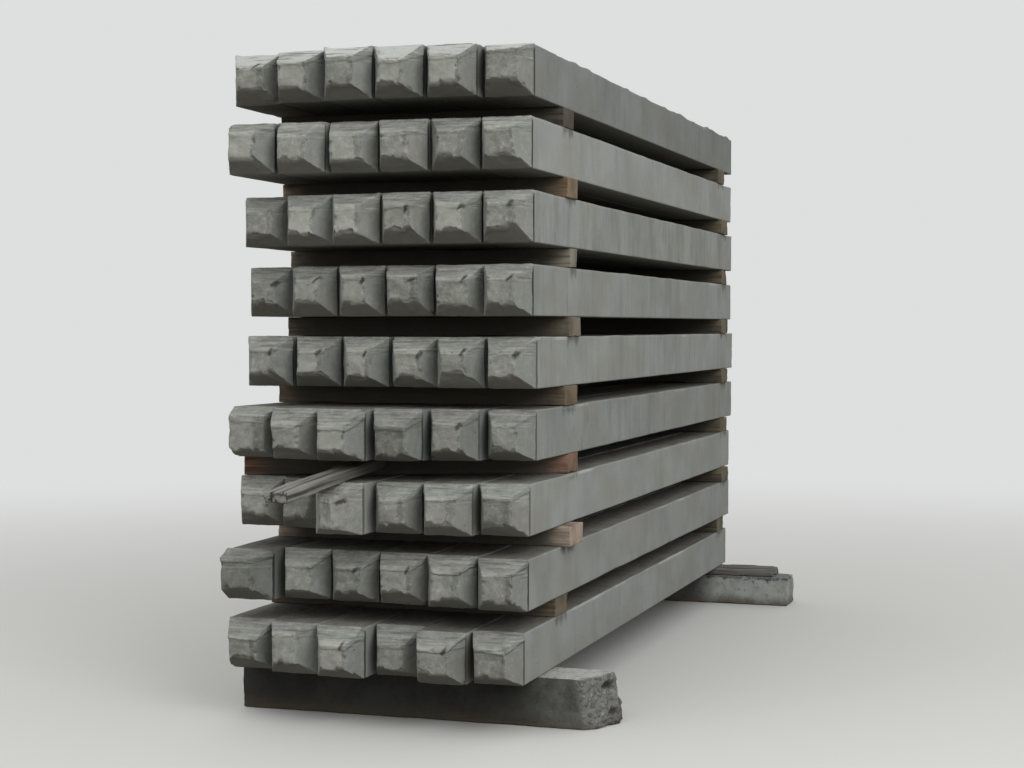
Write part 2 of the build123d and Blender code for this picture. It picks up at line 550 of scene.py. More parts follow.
def castTipMarks(paint, colour, local, onTip, mottle, cloud):
    cover, span = castCover, castRange
    # thin layers in the hand-finished top of the point
    bands = paint.noise(paint.stretch(paint.place, castGrain["band"]), 1.0, 3, 0.6)
    laid = paint.times(paint.ramp(local[2], *span["laid"]), onTip)
    dark = paint.times(paint.ramp(bands, *span["bandDark"]), laid, cover["bandDark"])
    colour = paint.mix(dark, colour, castLook["tipDark"])
    pale = paint.times(paint.ramp(bands, *span["bandPale"]), laid, cover["bandPale"])
    colour = paint.mix(pale, colour, castLook["tipPale"])
    # a painted shadow line under the overhanging lip
    wander = paint.times(paint.plus(mottle, -0.5), castGrain["wander"])
    lip = paint.math("ABSOLUTE", paint.plus(paint.value("lipPlace"), wander))
    darkLine = paint.times(paint.ramp(lip, *span["darkLine"]), onTip)
    darkLine = paint.times(darkLine, paint.value("lipDark"), paint.ramp(mottle, *span["darkLineGap"]))
    colour = paint.mix(paint.times(darkLine, cover["darkLine"]), colour, castLook["dirtAndShade"])

    # the blunt face is paler on its left, and a slanting dark pit crosses its upper right corner
    pit = paint.split(paint.vector("pitPlace"))
    across = paint.math("SUBTRACT", local[0], pit[0])
    up = paint.math("SUBTRACT", local[2], pit[1])
    onFace = paint.ramp(local[1], *span["onFace"])
    onLeft = paint.ramp(paint.plus(across, wander), *span["onLeft"])
    pale = paint.times(onLeft, onFace, paint.value("palePart"))
    colour = paint.mix(paint.times(pale, cover["pale"]), colour, castLook["tipPale"])
    turn = paint.value("pitTurn")
    cos = paint.math("COSINE", turn)
    sin = paint.math("SINE", turn)
    slant = paint.plus(paint.times(across, cos), paint.times(up, sin))
    off = paint.math("SUBTRACT", paint.times(up, cos), paint.times(across, sin))
    off = paint.math("ABSOLUTE", paint.plus(off, paint.times(wander, 0.5)))
    stroke = paint.ramp(paint.math("DIVIDE", off, pit[2]), *span["pitAcross"])
    bent = paint.plus(paint.math("ABSOLUTE", slant), paint.times(cloud, castGrain["pitBend"]))
    stroke = paint.times(stroke, paint.ramp(bent, *span["pitAlong"]))
    return paint.mix(paint.times(stroke, onTip, cover["slantPit"]), colour, castLook["pit"])


def castWear(paint, colour, local, upFace):
    # rubbed edges, a painted highlight along the top of some sides, and painted shade with dirt in the
    # grooves and chips
    cover, span = castCover, castRange
    speck = paint.ramp(paint.noise(paint.place, castGrain["speck"], 3, 0.7), *span["wornSpeck"])
    worn = paint.times(paint.value("edgeWear"), speck)
    colour = paint.mix(paint.times(worn, cover["worn"]), colour, castLook["worn"])
    # a pale line painted along the top of some sides as a highlight
    topLineHighlight = paint.noise(paint.stretch(paint.place, castGrain["rub"]), 1.0, 4, 0.6)
    topLineHighlight = paint.ramp(topLineHighlight, *span["rub"])
    topLineHighlight = paint.times(topLineHighlight, paint.ramp(local[2], *span["highlightHeight"]), paint.rest(upFace))
    colour = paint.mix(paint.times(topLineHighlight, cover["rub"]), colour, castLook["washedAndLit"])
    # the groove and the chips are painted dark: painted shade and dirt
    return paint.mix(paint.value("hollow"), colour, castLook["pit"])


# the piles

pileLook = {
    "edgeRound": 0.0035,
    "rimRound": 0.006,              # how far the edges of the blunt face are rubbed back
    "rubSize": 0.06,
    "wearReach": 0.012,             # how far from an edge it is rubbed pale
    "widthSteps": 15,               # mesh lines across a pile
    "edgeStep": 0.008,              # and how far the first of them is from its side
    "edgeDepth": 0.03,              # the way out turns round an edge over this depth
    "sideLump": 0.0004,             # height of the lumps everywhere
    "tipLump": 0.0026,              # and what the point has more
    "lumpSize": 0.055,
    "sideGrain": 0.0002,            # the same for the fine lumps
    "tipGrain": 0.00117,
    "grainSize": 0.016,
    "topLump": 0.0024,              # lumps on the trowelled top
    "topLumpSize": 0.09,
    "bow": 0.0008,                  # how far a side bows in and out
    "bowSize": 0.5,
    "overrun": 0.0035,              # how far concrete runs out over the mould's edge
    "spill": 0.004,                 # and how far it stands up there
    "openSpill": 0.022,             # the same on the top layer
    "spillSize": 0.11,
    "spillReach": 0.03,             # how far from the edge it is
    "ragged": 0.010,                # how far the under edges of the point wander up and down
    "raggedSize": 0.04,
    "raggedStep": 0.06,             # length of the steps in them
    "lipDepth": (0.0010, 0.0065),   # the hand-finished top hangs over the blunt face by this
    "lipHeight": (0.80, 0.90),      # share of the pile's height at which the lip starts
    "lipWander": 0.06,
    "lipWanderSize": 0.07,
    "chipDepth": 0.013,
    "chipSize": 0.03,
    "chipFrom": 0.18,               # chips are where their noise is above this
    "chipReach": 0.02,              # and this near to an edge
    "toneSlack": 0.75,              # how much lighter or darker than its row a pile may be
    "endPile": 6,                   # number of the right-hand pile, whose side shows,
    "endTone": 0.2,                 # what it has instead of that slack
    "endPale": 0.4,                 # and its share of palePart
    "openTipTone": 0.85,            # share of its row's tone that a point of the top layer doesn't have
    "slack": 0.010,                 # how much the point's shape differs from pile to pile
    "lean": 0.016,                  # how far its blunt face leans
    "bulge": 0.007,                 # and bulges
    "bulgeSize": 0.11,
    "pitAcross": (0.030, 0.050),    # the dark pit at the upper right of the blunt face: its place
    "pitUp": (0.130, 0.148),
    "pitWidth": (0.007, 0.014),
    "pitTurn": (0.2, 1.3),
    "palePart": (0.25, 1.3),        # how pale the left part of the blunt face is
    "jointDark": (0.55, 0.9),       # painted shade and dirt in the groove at the root of the point
    "topRowRings": 0.05,            # spacing of the rings along a pile of the top layer
    "rowRings": 0.11,               # and in the layers below
}

rowLook = {
    # each layer, bottom layer first: lighter or darker, streaks on its sides, painted shadow lines under the
    # lip, share of its piles with a dark pit on the blunt face
    1: (-0.30, 0.35, 0.80, 0.25),
    2: (-0.35, 0.35, 0.90, 0.35),
    3: (0.35, 0.30, 0.50, 0.25),
    4: (-0.30, 0.60, 0.70, 0.30),
    5: (0.10, 0.55, 0.25, 0.85),
    6: (-0.05, 0.50, 0.20, 1.00),
    7: (0.15, 1.00, 0.30, 0.75),
    8: (0.50, 0.20, 0.30, 0.50),
    9: (-1.35, 0.60, 0.60, 0.30),
}

oddPoints = {
    # (layer, pile): more or less narrowing at the left, right, top and bottom of the point
    (3, 3): (0.0, 0.045, 0.012, -0.01),
    (4, 1): (-0.03, -0.02, -0.02, -0.012),
    (2, 1): (-0.02, 0.01, -0.03, 0.0),
    (1, 2): (0.0, 0.02, -0.02, 0.0),
    (9, 6): (0.0, 0.0, -0.02, 0.012),
    (4, 4): (0.0, -0.02, 0.0, -0.02),
}


def cornersOf(node):
    points = np.array([v.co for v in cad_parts[node].data.vertices])
    return np.unique(points.round(5), axis=0)


def pilesOf(node):
    # the corner points of each separate pile of a layer, left to right
    points = cornersOf(node)
    leftSides = np.unique(points[points[:, 1] > points[:, 1].max() - 0.3][:, 0].round(3))
    width = points[:, 2].max() - points[:, 2].min()
    starts = [x for x in leftSides if np.any(np.abs(leftSides - x - width) < nearly)]
    return [points[(points[:, 0] > x - nearly) & (points[:, 0] < x + width + nearly)] for x in starts]


def pileShape(points):
    # sizes of a CAD pile: its point, and the joint groove at the root of the point
    low, high = points.min(0), points.max(0)
    face = points[points[:, 1] < low[1] + nearly]
    root = points[points[:, 2] > high[2] - nearly][:, 1].min()
    inner = points[:, 0] < (low[0] + face[:, 0].min()) / 2
    groove = points[inner & (points[:, 0] > low[0] + nearly) & (points[:, 2] > (low[2] + high[2]) / 2)]
    return {
        "size": high - low,
        "tip": root - low[1],
        "sideInset": face[:, 0].min() - low[0],
        "topInset": high[2] - face[:, 2].max(),
        "bottomInset": face[:, 2].min() - low[2],
        "jointDepth": groove[:, 0].max() - low[0],
        "jointWidth": groove[:, 1].max() - root,
        "jointTop": groove[:, 2].max() - low[2],
    }


def pileRings(tip, length, joint, spacing):
    # places along a pile: close together on the point and at its root, wider along the body
    face = np.array([0, 0.0016, 0.004, 0.008, 0.013])
    point = np.linspace(0.02, tip - 0.01, 10)
    root = tip + np.array([-0.003, 0, joint * 0.15, joint * 0.9, joint, joint + 0.003, 0.032, 0.055])
    steps = max(2, int(round((length - tip - 0.16) / spacing)))
    body = np.linspace(tip + 0.08, length - 0.06, steps)
    rear = length - np.array([0.03, 0.015, 0.004, 0.0016, 0])
    return np.concatenate([face, point, root, body, rear])


def pileLevels(height):
    # heights of the mesh lines up a pile, closer together where the lip is
    low = np.concatenate([[0, 0.0032, 0.008], np.linspace(0.019, 0.74 * height, 11)])
    high = height * np.array([0.785, 0.825, 0.86, 0.89, 0.92, 0.95, 0.98, 1.0])
    return np.concatenate([low, high])


def timberOver(layer, x):
    # middle and half width of the two timbers that rest on a layer, where they cross a pile
    found = []
    for node in (f"front_spacer_{layer}", f"rear_spacer_{layer}"):
        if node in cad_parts:
            points = cornersOf(node)
            points = points[np.argsort(points[:, 0])]
            left, right = points[:4], points[-4:]
            share = (x - left[0, 0]) / (right[0, 0] - left[0, 0])
            middle = left[:, 1].mean() * (1 - share) + right[:, 1].mean() * share
            found.append((middle, np.ptp(left[:, 1]) / 2))
    return found


def makePile(points, layer, number, openTop):
    # one cast pile in the place of the CAD pile, and the values on its points that castConcrete reads
    look = pileLook
    shape = pileShape(points)
    low = points.min(0)
    seed = layer * 100 + number
    rng = np.random.default_rng(seed)
    size, tip = shape["size"], shape["tip"]
    levels = pileLevels(size[2])
    spacing = look["topRowRings"] if openTop else look["rowRings"]
    along = pileRings(tip, size[1], shape["jointWidth"], spacing)
    points, faces = gridBox(spread(size[0], look["widthSteps"], look["edgeStep"]), along, levels)
    zero = np.zeros(3)
    start = points.copy()
    edge = edgeDistance(points, zero, size)
    away = outward(points, zero, size, look["edgeDepth"])
    points = roundCorners(points, zero, size, look["edgeRound"])
    world = points + low
    behind = points[:, 1] - tip                       # distance behind the root of the point
    onTip = smoothStep(0.012, -0.006, behind)
    level = start[:, 2] / size[2]
    topFace = smoothStep(0.99, 1.0, level)
    nearTop = smoothStep(0.85, 1.0, level)

    # lumps: strong on the point, longer and lower on the top, hardly any on the moulded sides
    lump = roughNoise(world, look["lumpSize"], seed, 3) * (look["sideLump"] + onTip * look["tipLump"])
    grainy = roughNoise(world, look["grainSize"], seed + 5, 2)
    grainy *= look["sideGrain"] + onTip * look["tipGrain"]
    trowel = roughNoise(world * np.array([1, 0.4, 1]), look["topLumpSize"], seed + 13, 3)
    shift = lump + grainy + trowel * (1 - onTip) * topFace * look["topLump"]
    shift += roughNoise(world, look["bowSize"], seed + 9, 1) * look["bow"]
    # the concrete stands up along the edges of the top and runs over them here and there
    spill = np.maximum(roughNoise(world, look["spillSize"], seed + 31, 3), 0)
    spill *= nearTop * smoothStep(look["spillReach"], 0.0, edge)
    shift += spill * (1 - topFace) * look["overrun"]
    heap = spill * (look["openSpill"] if openTop else look["spill"])
    # on the point the top hangs over in a lip
    across = world * np.array([1, 1, 0])
    wander = roughNoise(across, look["lipWanderSize"], seed + 61, 2) * look["lipWander"]
    lipLine = rng.uniform(*look["lipHeight"]) + wander
    tone, stain, darkLine, pitShare = rowLook[layer]
    lipSize = rng.uniform(*look["lipDepth"]) * (0.25 + 0.75 * darkLine)
    lipPlace = level - lipLine
    shift += smoothStep(-0.01, 0.04, lipPlace) * onTip * lipSize
    # chips knocked off the edges, mostly round the point
    chip = np.maximum(roughNoise(world, look["chipSize"], seed + 33, 2) - look["chipFrom"], 0) / 0.5
    chip *= smoothStep(look["chipReach"], 0.002, edge)
    chip *= 0.2 + 0.8 * smoothStep(0.03, -0.01, behind)
    shift -= chip * look["chipDepth"]
    # the groove that the mould's joint leaves down both sides
    width = shape["jointWidth"]
    belowTop = shape["jointTop"] - start[:, 2]
    onSide = np.abs(away[:, 0]) * smoothStep(-0.004, 0.004, belowTop)
    joint = smoothStep(0.0, width * 0.15, behind) * smoothStep(width, width * 0.9, behind) * onSide
    # the groove is painted dark with shade and dirt, its far wall too
    grooveShadeAndDirt = smoothStep(-0.002, 0.0, behind) * smoothStep(width + 0.003, width, behind) * onSide
    shift -= joint * shape["jointDepth"]
    points = points + away * shift[:, None]
    points[:, 2] += heap
    points = narrowPoint(points, start, behind, edge, world, shape, layer, number, rng)
    if openTop:
        tone *= 1 - onTip * look["openTipTone"]
    atEnd = number + 1 == look["endPile"]
    tone = tone + rng.uniform(-1, 1) * (look["endTone"] if atEnd else look["toneSlack"])
    darkLine *= np.clip(lipSize / look["lipDepth"][1], 0.6, 1) * rng.uniform(0.7, 1.2)
    pitWidth = rng.uniform(*look["pitWidth"]) if rng.uniform() < pitShare else nearly
    pit = [rng.uniform(*look["pitAcross"]), rng.uniform(*look["pitUp"]), pitWidth]
    local = points - np.array([size[0] / 2, tip, 0])
    # distance along the pile from the nearest timber on it, in half widths of that timber
    timber = np.full(len(points), farOff)
    for middle, half in timberOver(layer, low[0] + size[0] / 2):
        distance = (world[:, 1] - middle) / half
        timber = np.where(np.abs(distance) < np.abs(timber), distance, timber)
    values = {
        "pilePlace": local,
        "pileTone": np.full(len(points), 1.0) * tone,
        "edgeWear": smoothStep(look["wearReach"], 0.0, edge) * (0.4 + 0.6 * onTip),
        "pileStain": np.full(len(points), stain),
        "pileOpen": np.full(len(points), float(openTop)),
        "hollow": np.clip(grooveShadeAndDirt * rng.uniform(*look["jointDark"]) + np.clip(chip, 0, 1) * 0.25, 0, 1),
        "lipPlace": lipPlace,
        "lipDark": np.full(len(points), darkLine),
        "pitPlace": np.tile(pit, (len(points), 1)),
        "pitTurn": np.full(len(points), rng.uniform(*look["pitTurn"])),
        "palePart": np.full(len(points), rng.uniform(*look["palePart"]) * (look["endPale"] if atEnd else 1)),
        "timberAlong": timber,
    }
    return points + low, faces, values


def narrowPoint(points, start, behind, edge, world, shape, layer, number, rng):
    # narrows the front end to its blunt face, each side a little different on each pile
    look = pileLook
    seed = layer * 100 + number
    slack = rng.uniform(-look["slack"], look["slack"], 6)
    insets = np.array([shape["sideInset"], shape["sideInset"], shape["topInset"], shape["bottomInset"]])
    insets += slack[:4] + np.array(oddPoints.get((layer, number + 1), (0, 0, 0, 0)))
    part = np.clip(-behind / shape["tip"], 0, 1.05)
    # the under edges run up and down in steps
    flat = world * np.array([1, 1, 0])
    rag = roughNoise(flat, look["raggedSize"], seed + 71, 3) * 0.5
    rag += smoothStep(-0.04, 0.04, roughNoise(flat, look["raggedStep"], seed + 75, 1)) - 0.5
    bottom = insets[3] + rag * look["ragged"]
    width, height = shape["size"][0], shape["size"][2]
    x = points[:, 0] / width
    z = points[:, 2] / height
    moved = points.copy()
    moved[:, 0] = part * insets[0] + x * (width - part * (insets[0] + insets[1]))
    moved[:, 2] = part * bottom + z * (height - part * (insets[2] + bottom))
    # the blunt face bulges and leans, and its edges are rubbed back unevenly
    rim = smoothStep(look["rimRound"] * 1.8, 0.0, edge) * smoothStep(0.03, 0.0, start[:, 1])
    rub = np.clip(roughNoise(world, look["rubSize"], seed + 47, 2) * 1.4 + 0.75, 0, 1.7)
    moved[:, 1] += rim * rub * look["rimRound"] * 0.6
    lean = ((z - 0.5) * slack[4] + (x - 0.5) * slack[5]) * look["lean"] / look["slack"]
    bulge = roughNoise(world, look["bulgeSize"], seed + 41, 2) * look["bulge"]
    moved[:, 1] -= part * (lean + bulge)
    return moved


def makeRows(material):
    layers = sorted(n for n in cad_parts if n.startswith("pile_layer_"))
    for node in layers:
        layer = int(node.split("_")[-1])
        parts = []
        values = []
        for number, corners in enumerate(pilesOf(node)):
            points, faces, own = makePile(corners, layer, number, layer == len(layers))
            parts.append((points, faces))
            values.append(own)
        joined = {key: np.concatenate([v[key] for v in values]) for key in values[0]}
        standIn(f"pileRow{layer}", node, material, parts, joined)
    report("piles")


# bars that fill the eight corners of a CAD solid: timbers, planks and sleepers

def solidCorners(node, longAxis):
    # corners[end][side][level] of a six-sided solid whose long way is near X (0) or Y (1)
    points = cornersOf(node)
    other = 1 - longAxis
    ends = np.split(points[np.argsort(points[:, longAxis])], 2)
    corners = np.zeros((2, 2, 2, 3))
    for end in (0, 1):
        sides = np.split(ends[end][np.argsort(ends[end][:, other])], 2)
        for side in (0, 1):
            corners[end, side] = sides[side][np.argsort(sides[side][:, 2])]
    return corners


def boxCorners(node):
    # the same for the box round a solid that lies along X
    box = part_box(node)
    corners = np.zeros((2, 2, 2, 3))
    for end, side, level in itertools.product((0, 1), repeat=3):
        corners[end, side, level] = [box[end][0], box[side][1], box[level][2]]
    return corners


def fillCorners(corners, unit):
    # places in the solid for rows of (along, across, up), each from 0 to 1
    total = np.zeros((len(unit), 3))
    for end, side, level in itertools.product((0, 1), repeat=3):
        weight = np.where(end, unit[:, 0], 1 - unit[:, 0])
        weight = weight * np.where(side, unit[:, 1], 1 - unit[:, 1])
        weight = weight * np.where(level, unit[:, 2], 1 - unit[:, 2])
        total += corners[end, side, level] * weight[:, None]
    return total


barLook = {
    # what every bar shares
    "edgeDepth": 0.02,                 # the way out turns round an edge over this depth
    "grainSize": 0.02,
    "grainPull": (0.06, 1, 1),         # grain is drawn out along the bar,
    "waneSize": 0.06,
    "wanePull": (0.3, 1, 1),           # missing edges less so
    "waneFrom": 0.1,                   # an edge is missing where its noise is above this
    "waneReach": 0.03,                 # how far a missing edge reaches over the sides
    "raggedSize": 0.012,
    "raggedReach": 0.04,               # how far from an end it is ragged
    "heartUp": 0.3,                    # height of the middle of the rings, as a share of the bar's
    "dampShadeStart": 0.015,                # a bar begins to turn dark this far from its ends, as painted shade and damp
    "grainShift": (3.7, 1.9, 0.8),     # a bar takes its grain from this place times its seed
}


def makeBar(corners, look, seed, shapeEnds=None):
    # shapeEnds may move points further: it gets the bar's own places before and after, and its size
    size = np.linalg.norm([
        corners[1, 0, 0] - corners[0, 0, 0],
        corners[0, 1, 0] - corners[0, 0, 0],
        corners[0, 0, 1] - corners[0, 0, 0],
    ], axis=1)
    steps = [max(4, int(size[i] / look["steps"][i])) for i in range(3)]
    grid = [spread(size[i], steps[i], look["round"] * 1.5) for i in range(3)]
    points, faces = gridBox(*grid)
    zero = np.zeros(3)
    start = points.copy()
    edge = edgeDistance(points, zero, size)
    away = outward(points, zero, size, barLook["edgeDepth"])
    points = roundCorners(points, zero, size, look["round"])
    place = points + seed * np.array(barLook["grainShift"])
    drawn = place * np.array(barLook["grainPull"])
    grain = roughNoise(drawn, barLook["grainSize"], seed, 3) * look["grain"]
    lump = roughNoise(place, look["lumpSize"], seed + 3, 3) * look["lump"]
    wane = roughNoise(place * np.array(barLook["wanePull"]), barLook["waneSize"], seed + 7, 2)
    wane = np.maximum(wane - barLook["waneFrom"], 0) * look["wane"]
    wane *= smoothStep(barLook["waneReach"], 0.0, edge)
    points = points + away * (grain + lump - wane - look["shrink"])[:, None]
    atEnd = np.minimum(start[:, 0], size[0] - start[:, 0])
    ragged = roughNoise(place * np.array([0, 1, 1]), barLook["raggedSize"], seed + 11, 3) * look["ragged"]
    sign = np.where(start[:, 0] > size[0] / 2, 1, -1)
    points[:, 0] += sign * ragged * smoothStep(barLook["raggedReach"], 0.0, atEnd)
    values = {
        "woodPlace": place - np.array([0, size[1] * look["heart"], size[2] * barLook["heartUp"]]),
        "endGrain": smoothStep(nearly, 0.0, atEnd),
        "inward": smoothStep(barLook["dampShadeStart"], look["dampShadeFrom"], atEnd),
        "broken": np.zeros(len(points)),
        "hole": np.zeros(len(points)),
    }
    if shapeEnds:
        shapeEnds(points, start, size, values)
    world = fillCorners(corners, points / size)
    if corners[:, :, 0, 2].min() < nearly:
        world[:, 2] = np.maximum(world[:, 2], 0)     # what stands on the ground stays above it
    return world, faces, values


woodLook = {
    "stain": tint(58, 54, 48),
    "shadeAndDirt": tint(84, 80, 73),     # the faces deep in the gaps, painted dark as shade and damp
    "bleached": tint(160, 160, 154),   # ridges of weathered grain
    "darkLine": tint(52, 50, 46),         # and the furrows between them
    "grain": (2.2, 60, 60),            # how fine the grain is along X, Y and Z, in cells to a metre
    "fibre": (9, 420, 420),
    "ridge": (1.6, 48, 48),
    "cloud": 7,
    "knot": (9, 0.012, 0.3),           # cells to a metre, radius, share of cells with one
    "rings": 30,
    "ringBend": 3.0,
    "roughness": 0.85,
    "relief": 0.003,                   # height of the grain
    "wornRelief": 0.003,               # and how much more it is where the wood is weathered
}

woodRange = {
    # each mark comes in between the first value of its pattern and the second
    "grain": (0.36, 0.66),
    "ring": (0.1, 1.0),
    "stain": (0.42, 0.66),
    "ridge": (0.38, 0.56),
}

woodCover = {
    # how much each mark hides of what is under it, from 0 to 1
    "ring": 0.6,
    "stain": 0.5,
    "fibre": 0.4,
    "knot": 0.8,
    "broken": 0.85,
    "shadeAndDirt": 0.95,
}


def sawnTimber(name, light, dark, weathered=0.0):
    # grain along the bar, rings on its ends, and painted shade with damp where the stack shelters it
    look, cover, span = woodLook, woodCover, woodRange
    paint = Paint(name, look["roughness"])
    place = paint.vector("woodPlace")
    end = paint.value("endGrain")
    grain = paint.noise(paint.stretch(place, look["grain"]), 1.0, 5, 0.62, 0.6)
    fibre = paint.noise(paint.stretch(place, look["fibre"]), 1.0, 3, 0.6)
    cloud = paint.noise(paint.place, look["cloud"], 4, 0.6)
    colour = paint.mix(paint.ramp(grain, *span["grain"]), light, dark)
    ringLine = endRings(paint, place)
    ringed = paint.mix(paint.ramp(ringLine, *span["ring"], 0.0, cover["ring"]), light, dark)
    colour = paint.mix(end, colour, ringed)
    stained = paint.times(paint.ramp(cloud, *span["stain"]), cover["stain"])
    colour = paint.mix(stained, colour, look["stain"])
    if weathered:
        ridge = paint.noise(paint.stretch(place, look["ridge"]), 1.0, 3, 0.6)
        bleached = paint.mix(paint.ramp(ridge, *span["ridge"]), look["darkLine"], look["bleached"])
        bleached = paint.mix(paint.times(fibre, cover["fibre"]), bleached, look["stain"])
        knot = paint.pores(place, *look["knot"])
        bleached = paint.mix(paint.times(knot, cover["knot"]), bleached, look["darkLine"])
        colour = paint.mix(weathered, colour, bleached)
        # the batten's split and end rim, painted dark as shade
        broken = paint.times(paint.value("broken"), cover["broken"])
        colour = paint.mix(broken, colour, look["darkLine"])
    # painted shade, with damp, on the bar away from its ends
    inward = paint.times(paint.value("inward"), cover["shadeAndDirt"])
    colour = paint.mix(inward, colour, look["shadeAndDirt"])
    paint.colour(colour)
    height = paint.plus(paint.times(fibre, 0.5), paint.times(grain, 0.7))
    height = paint.plus(height, paint.times(end, ringLine, 0.15))
    paint.bump(height, look["relief"] + look["wornRelief"] * weathered)
    return paint.material


def endRings(paint, place):
    # year rings round the heart of the bar
    rings = paint.add("ShaderNodeTexWave", wave_type="RINGS", rings_direction="X", wave_profile="SAW")
    paint.fill(rings.inputs["Vector"], place)
    rings.inputs["Scale"].default_value = woodLook["rings"]
    rings.inputs["Distortion"].default_value = woodLook["ringBend"]
    rings.inputs["Detail"].default_value = 3.0
    rings.inputs["Detail Scale"].default_value = 1.2
    return rings.outputs["Fac"]


timberLook = {
    "steps": (0.03, 0.014, 0.014),   # spacing of the mesh along, across and up
    "round": 0.004,
    "grain": 0.0012,
    "lump": 0.0015,
    "lumpSize": 0.12,
    "wane": 0.012,        # depth of what is missing from an edge
    "ragged": 0.002,      # how far the fibres of an end stand out or in
    "shrink": 0.0006,     # how far the sides lie inside the solid
    "heart": 0.4,         # where the middle of the rings is, as a share of the width
    "dampShadeFrom": 0.13,     # further in than this a timber is as dark as it gets, with painted shade and damp
    "seed": 300,
    "rearSeed": 50,       # added for the rear timbers
}

timberColours = {
    # light and dark grain of each timber by its node's name; the rest take the last pair
    "front_spacer_1": (tint(120, 108, 90), tint(74, 65, 54)),
    "front_spacer_2": (tint(176, 160, 144), tint(126, 112, 98)),
    "front_spacer_3": (tint(142, 112, 94), tint(84, 63, 52)),
    "front_spacer_4": (tint(126, 112, 92), tint(82, 71, 56)),
    "front_spacer_5": (tint(132, 123, 106), tint(88, 80, 67)),
    "front_spacer_6": (tint(150, 144, 130), tint(96, 90, 78)),
    "front_spacer_7": (tint(144, 125, 101), tint(92, 78, 61)),
    "front_spacer_8": (tint(96, 90, 78), tint(58, 54, 46)),
    "others": (tint(120, 110, 92), tint(76, 69, 56)),
}


def makeTimbers():
    for node in sorted(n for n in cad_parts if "_spacer_" in n):
        light, dark = timberColours.get(node, timberColours["others"])
        seed = timberLook["seed"] + int(node.split("_")[-1])
        if node.startswith("rear"):
            seed += timberLook["rearSeed"]
        points, faces, values = makeBar(solidCorners(node, 0), timberLook, seed)
        name = node.replace("_spacer_", "Timber")
        standIn(name, node, sawnTimber(name, light, dark), [(points, faces)], values)
    report("timbers")


plankLook = {
    "steps": (0.016, 0.006, 0.007),
    "round": 0.0035,
    "grain": 0.0034,
    "lump": 0.003,
    "lumpSize": 0.16,
    "wane": 0.02,
    "ragged": 0.007,
    "shrink": 0.001,
    "heart": 0.9,
    "dampShadeFrom": 4.0,
    "resting": (tint(104, 101, 93), tint(66, 63, 56)),      # light and dark grain of the plank
    "restingWear": 0.45,   # and how weathered it is
    "restingSeed": 400,
    "batten": (tint(142, 140, 132), tint(96, 93, 86)),      # the same for the batten
    "battenWear": 0.8,
    "battenSeed": 401,
    "splitAcross": 0.30,   # the split in the batten's near end, as a share of its width
    "splitWidth": 0.0045,
    "splitLength": 0.012,
    "furrow": 0.008,       # depth of the split where it runs on along the top
    "furrowEnd": (0.36, 0.24),
    "shadedFrom": (0.10, 0.55),   # the batten is painted darker, as shade, between these distances from its near end
}


def splitEnd(points, start, size, values):
    # opens a split at the near end that runs on along the top as a furrow
    look = plankLook
    off = np.abs(start[:, 1] - size[1] * look["splitAcross"])
    near = smoothStep(look["splitWidth"] * 1.6, look["splitWidth"] * 0.4, off)
    points[:, 0] += near * smoothStep(look["splitLength"], 0, start[:, 0]) * look["splitLength"] * 0.9
    top = smoothStep(size[2] - 0.004, size[2], start[:, 2])
    open = near * smoothStep(*look["furrowEnd"], start[:, 0])
    points[:, 2] -= open * top * look["furrow"]
    # the split and the lower and one side rim of the near end are painted dark as shade
    rim = smoothStep(0.007, 0.001, np.minimum(start[:, 2], size[1] - start[:, 1]))
    values["broken"] = np.maximum(open, rim * smoothStep(0.004, 0.0, start[:, 0]))
    # painted shade on the batten where it runs back under the stack
    values["inward"] = smoothStep(*look["shadedFrom"], start[:, 0]) * 0.7


def makePlanks():
    look = plankLook
    points, faces, values = makeBar(solidCorners("rear_packing_plank", 0), look, look["restingSeed"])
    wood = sawnTimber("restingPlank", *look["resting"], look["restingWear"])
    standIn("restingPlank", "rear_packing_plank", wood, [(points, faces)], values)
    points, faces, values = makeBar(solidCorners("loose_batten", 1), look, look["battenSeed"], splitEnd)
    wood = sawnTimber("looseBatten", *look["batten"], look["battenWear"])
    standIn("looseBatten", "loose_batten", wood, [(points, faces[:, ::-1])], values)
    report("planks")


sleeperLook = {
    "steps": (0.016, 0.009, 0.009),
    "round": 0.005,
    "grain": 0.0,
    "lump": 0.003,
    "lumpSize": 0.07,
    "wane": 0.014,
    "ragged": 0.002,
    "shrink": 0.002,
    "heart": 0.5,
    "dampShadeFrom": 4.0,
    "frontSeed": 512,
    "rearSeed": 511,
    "frontCover": (-0.12, 0.1),    # the front sleeper is painted dark with the stack's shade, and dirt, up to here
    "rearCover": (-0.14, 0.02),    # and the rear block, both measured from the stack's right side
}

breakLook = {
    "slant": 0.09,     # the front of the broken end falls this far short of the back
    "lean": 0.035,     # and its top this far short of its foot
    "lump": 0.030,
    "lumpSize": 0.10,
    "stone": 0.007,
    "stoneSize": 0.022,
    # holes: place across and up as shares, half width, half height and depth
    "holes": [
        (0.64, 0.76, 0.056, 0.019, 0.030),
        (0.60, 0.26, 0.034, 0.014, 0.014),
        (0.88, 0.42, 0.014, 0.020, 0.014),
    ],
}

